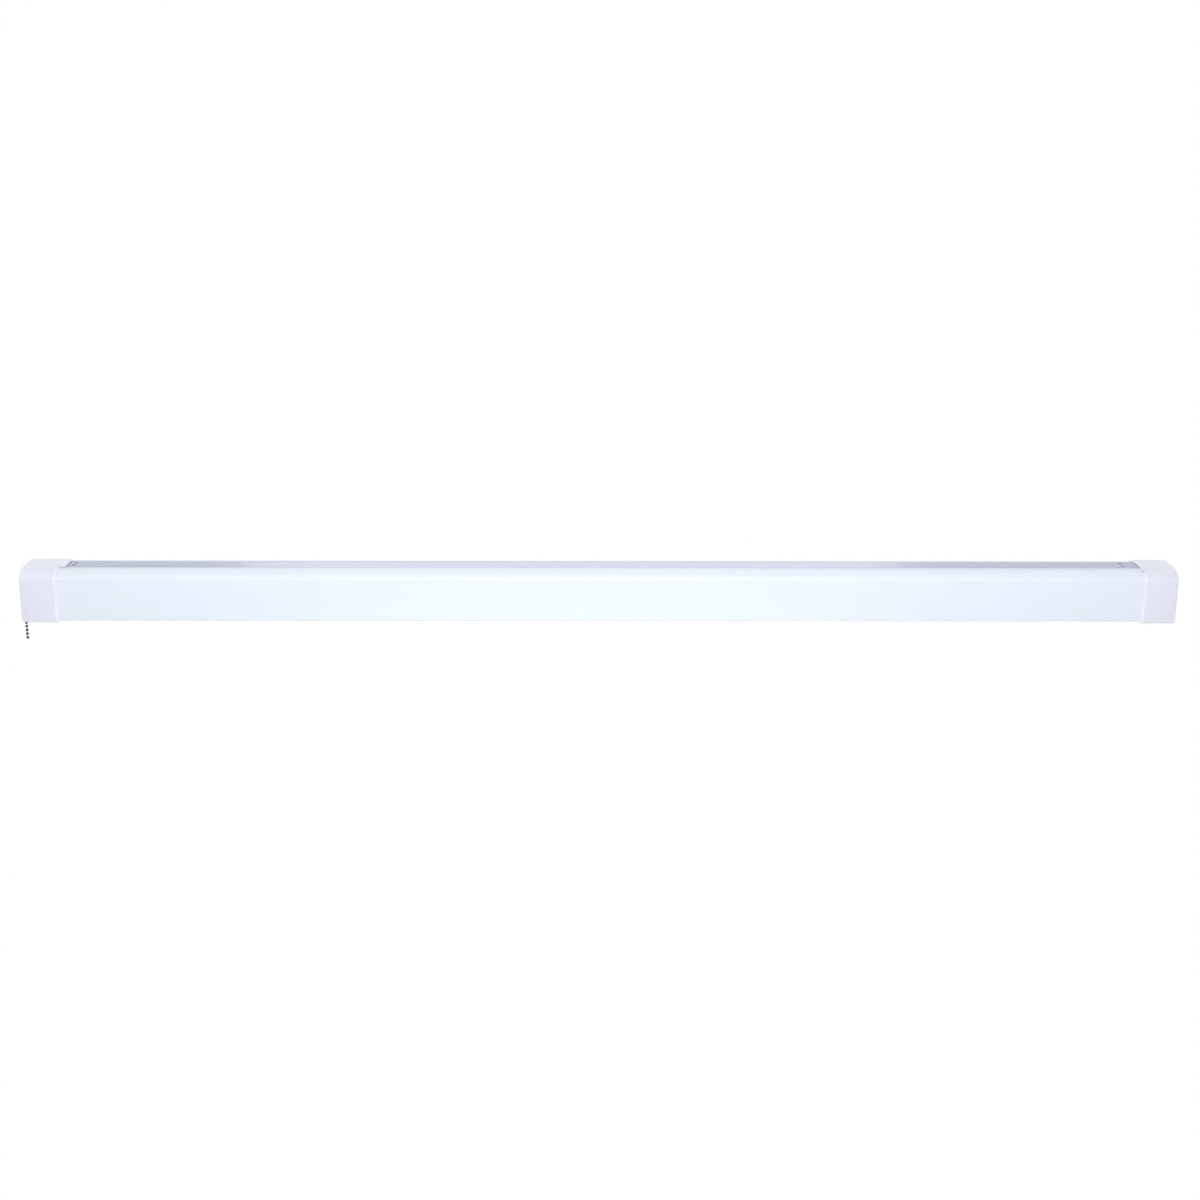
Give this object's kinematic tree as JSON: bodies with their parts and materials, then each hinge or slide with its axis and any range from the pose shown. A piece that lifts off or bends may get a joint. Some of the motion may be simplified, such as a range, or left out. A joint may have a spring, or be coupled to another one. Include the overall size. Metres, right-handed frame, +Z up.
{
  "type": "hanging shop light",
  "caption": "Long hanging shop light with a wrap lens hooked on an extruded housing, moulded end caps and a pull-chain switch whose bead chain hangs from the left cap.",
  "frame": {"origin": "middle of the four hanger holes, on the top face of the housing", "axes": "+X along the lamp towards the cord inlet, the chain hangs at -X; -Y is the front; +Z up"},
  "size_m": [1.2299, 0.065, 0.0872],
  "materials": {
    "cap_plastic": "moulded, fine satin grain",
    "lens_plastic": "opal extrusion, glossy outside",
    "housing_paint": "white powder coat on extruded aluminium",
    "aluminium": "rolled sheet",
    "board_mask": "white solder mask",
    "phosphor": "silicone over phosphor",
    "steel": "zinc plated",
    "white_nylon": "nylon",
    "green_board": "solder mask",
    "dark_sleeve": "printed sleeve without lettering",
    "ferrite": "ferrite and tape",
    "copper": "enamelled wire",
    "black_lead": "vinyl insulation",
    "red_lead": "vinyl insulation",
    "grey_lead": "vinyl insulation",
    "green_lead": "vinyl insulation",
    "orange_plastic": "moulded",
    "green_steel": "green zinc plate",
    "grey_nylon": "nylon",
    "phenolic": "moulded phenolic",
    "brass": "turned brass",
    "bell_nickel": "nickel plated",
    "chain_nickel": "dark nickel plated beads",
    "chain_wire": "nickel plated wire"
  },
  "bodies": {
    "fixture": {"housing": "housing_paint", "lens": "lens_plastic", "left_end_cap": "cap_plastic", "right_end_cap": "cap_plastic", "cap_screws": "steel", "led_tray": "aluminium", "led_boards": "board_mask", "light_sources": "phosphor", "board_screws": "steel", "board_connectors": "white_nylon", "board_jumpers": "white_nylon", "driver_case": "steel", "driver_lid": "steel", "driver_board": "green_board", "driver_capacitors": "dark_sleeve", "driver_transformer": "ferrite", "driver_choke": "copper", "driver_terminals": "white_nylon", "driver_screws": "steel", "switch_lead_supply": "black_lead", "switch_lead_driver": "black_lead", "led_lead_positive": "red_lead", "led_lead_negative": "grey_lead", "wire_clips": "white_nylon", "splice_nut": "orange_plastic", "ground_screw": "green_steel", "ground_lead": "green_lead", "inlet_bushing": "grey_nylon", "switch_base": "phenolic", "switch_cover": "phenolic", "switch_rivets": "brass", "switch_ferrule": "brass", "ferrule_washer": "steel", "bell_mouth": "bell_nickel", "switch_shaft": "steel", "switch_spring": "steel", "switch_contacts": "brass"},
    "switch_lever": {"switch_lever": "brass"},
    "switch_rotor": {"switch_rotor": "white_nylon", "rotor_contact": "copper"},
    "chain_inner": {"chain_inner_beads": "chain_nickel", "chain_inner_links": "chain_wire"},
    "chain_entry": {"chain_entry_link": "chain_wire"},
    "chain_bend": {"chain_bend_beads": "chain_nickel", "chain_bend_link": "chain_wire"},
    "chain_exit": {"chain_exit_link": "chain_wire"},
    "chain_top": {"chain_top_bead": "chain_nickel"},
    "chain_sway": {"chain_second_link": "chain_wire", "chain_second_bead": "chain_nickel"},
    "chain_swing": {"chain_lower_links": "chain_wire", "chain_lower_beads": "chain_nickel"}
  },
  "joints": [
    {"name": "chain_pull", "type": "slide", "parent": "fixture", "child": "chain_top", "axis": [0, 0, -1], "range_m": [0, 0.0042], "stiffness_N_per_m": 250, "springref_m": -0.004},
    {"name": "chain_draw", "type": "slide", "parent": "fixture", "child": "chain_inner", "axis": [-1, 0, 0], "range_m": [0, 0.00421]},
    {"name": "chain_turn", "type": "hinge", "parent": "fixture", "child": "chain_bend", "pos_m": [-0.61195, 0.005, -0.03355], "axis": [0, -1, 0], "range_deg": [0, 45.02]},
    {"name": "entry_turn", "type": "hinge", "parent": "chain_inner", "child": "chain_entry", "pos_m": [-0.60775, 0.005, -0.0282], "axis": [0, -1, 0], "range_deg": [0, 16.02]},
    {"name": "exit_turn", "type": "hinge", "parent": "chain_top", "child": "chain_exit", "pos_m": [-0.6173, 0.005, -0.03355], "axis": [0, -1, 0], "range_deg": [0, 16.02]},
    {"name": "lever_turn", "type": "hinge", "parent": "fixture", "child": "switch_lever", "pos_m": [-0.59935, 0.005, -0.0362], "axis": [0, -1, 0], "range_deg": [0, 30.46]},
    {"name": "rotor_turn", "type": "hinge", "parent": "fixture", "child": "switch_rotor", "pos_m": [-0.59935, 0.005, -0.0362], "axis": [0, -1, 0], "range_deg": [0, 90.02]},
    {"name": "chain_sway_hinge", "type": "hinge", "parent": "chain_top", "child": "chain_sway", "pos_m": [-0.6173, 0.005, -0.03355], "axis": [1, 0, 0], "range_deg": [-11, 11]},
    {"name": "chain_swing_hinge", "type": "hinge", "parent": "chain_sway", "child": "chain_swing", "pos_m": [-0.6173, 0.005, -0.03775], "axis": [0, 1, 0], "range_deg": [-11, 11]}
  ],
  "couplings": [
    {"joint": "chain_draw", "follows": "chain_pull", "ratio": 1},
    {"joint": "chain_turn", "follows": "chain_pull", "rad_per_m": 187},
    {"joint": "entry_turn", "follows": "chain_pull", "rad_per_m": 66.489},
    {"joint": "exit_turn", "follows": "chain_pull", "rad_per_m": 66.489},
    {"joint": "lever_turn", "follows": "chain_pull", "rad_per_m": 126.48},
    {"joint": "rotor_turn", "follows": "chain_pull", "rad_per_m": 374}
  ]
}
